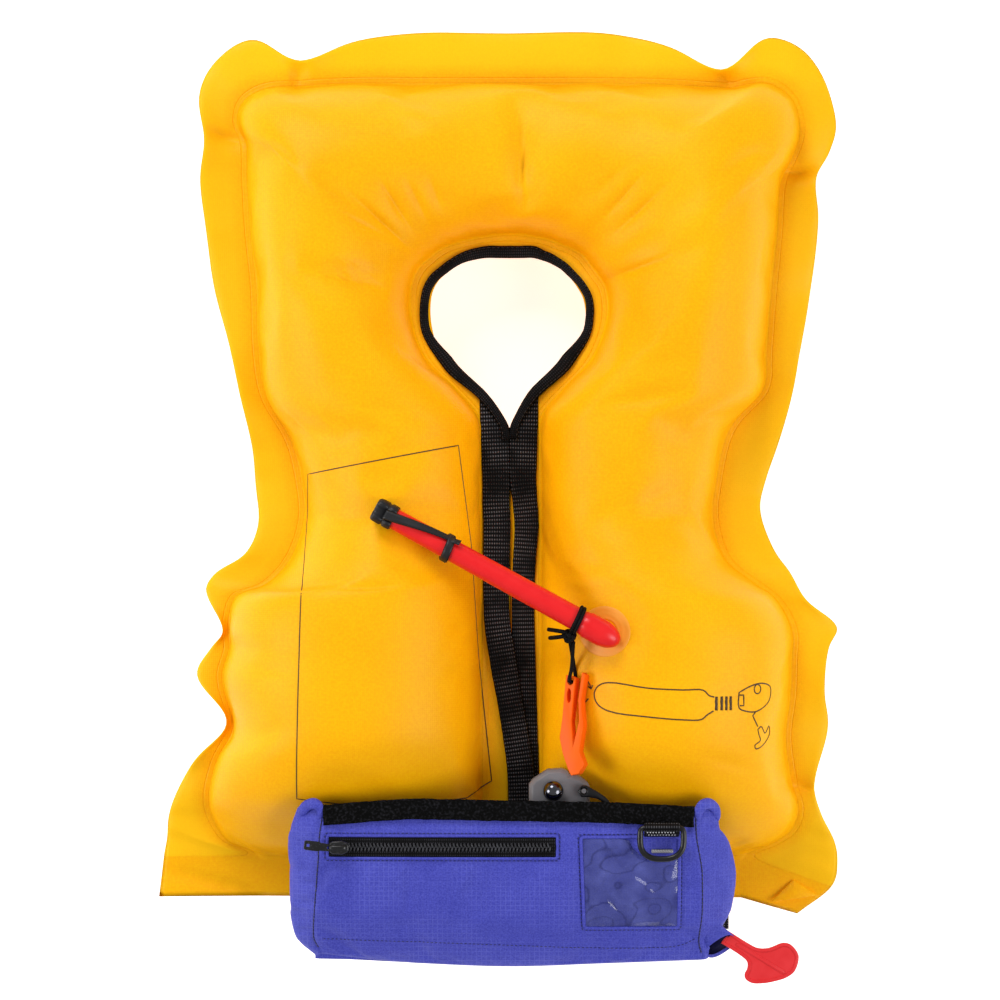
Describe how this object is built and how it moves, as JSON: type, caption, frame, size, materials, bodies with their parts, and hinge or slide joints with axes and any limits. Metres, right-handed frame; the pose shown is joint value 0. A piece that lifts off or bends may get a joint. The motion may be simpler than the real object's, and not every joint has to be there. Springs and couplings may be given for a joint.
{
  "type": "inflatable belt pack",
  "caption": "Waist pouch with its horseshoe air bladder inflated: neck opening, oral tube, whistle, gas inflator, zip pocket, clear window, ring and pull handle.",
  "frame": {"origin": "middle of the bounding box's underside, on the floor that the pack lies on", "axes": "+X across the bladder to the pull handle's side, +Y from the pouch to the collar, +Z from the floor to the pack's front"},
  "size_m": [0.4428, 0.6172, 0.1338],
  "materials": {
    "coated_nylon": "satin coated cloth",
    "binding_tape": "ribbed tape",
    "webbing": "woven",
    "weld_disc": "translucent film",
    "red_tube": "soft satin",
    "black_rubber": "satin",
    "grey_plastic": "satin",
    "chrome": "polished",
    "black_plastic": "semi-gloss",
    "orange_plastic": "satin",
    "cord": "braided",
    "ripstop": "ripstop weave",
    "hook_tape": "hook tape",
    "zip_tape": "knit tape with coil teeth",
    "black_metal": "semi-gloss",
    "clear_vinyl": "clear film",
    "red_plastic": "satin"
  },
  "bodies": {
    "pack": {"bladder": "coated_nylon", "neck_binding": "binding_tape", "strap_left": "webbing", "strap_right": "webbing", "tube_flange": "weld_disc", "oral_tube": "red_tube", "tube_cap": "black_rubber", "cap_tether": "black_rubber", "inflator_body": "grey_plastic", "inflator_stem": "black_rubber", "cap_nut": "chrome", "whistle": "orange_plastic", "lanyard_knot": "cord", "whistle_lanyard": "cord", "pouch": "ripstop", "hook_strip": "hook_tape", "zip_tape": "zip_tape", "zip_slider": "black_metal", "window": "clear_vinyl", "ring_tab": "webbing", "waist_belt": "webbing", "handle_tunnel": "ripstop", "pull_handle": "red_plastic"},
    "ring": {"d_ring": "black_plastic"},
    "pull": {"zip_pull": "black_metal"},
    "lever": {"inflator_lever": "black_plastic"}
  },
  "joints": [
    {"name": "ring_swing", "type": "hinge", "parent": "pack", "child": "ring", "pos_m": [0.10382, -0.20562, 0.12405], "axis": [-1, 0, 0], "range_deg": [0, 150]},
    {"name": "zip_pull_swing", "type": "hinge", "parent": "pack", "child": "pull", "pos_m": [-0.10783, -0.21812, 0.12337], "axis": [0, 1, 0], "range_deg": [0, 150]},
    {"name": "lever_swing", "type": "hinge", "parent": "pack", "child": "lever", "pos_m": [0.05462, -0.18322, 0.10597], "axis": [0, 0, -1], "range_deg": [0, 50]}
  ]
}
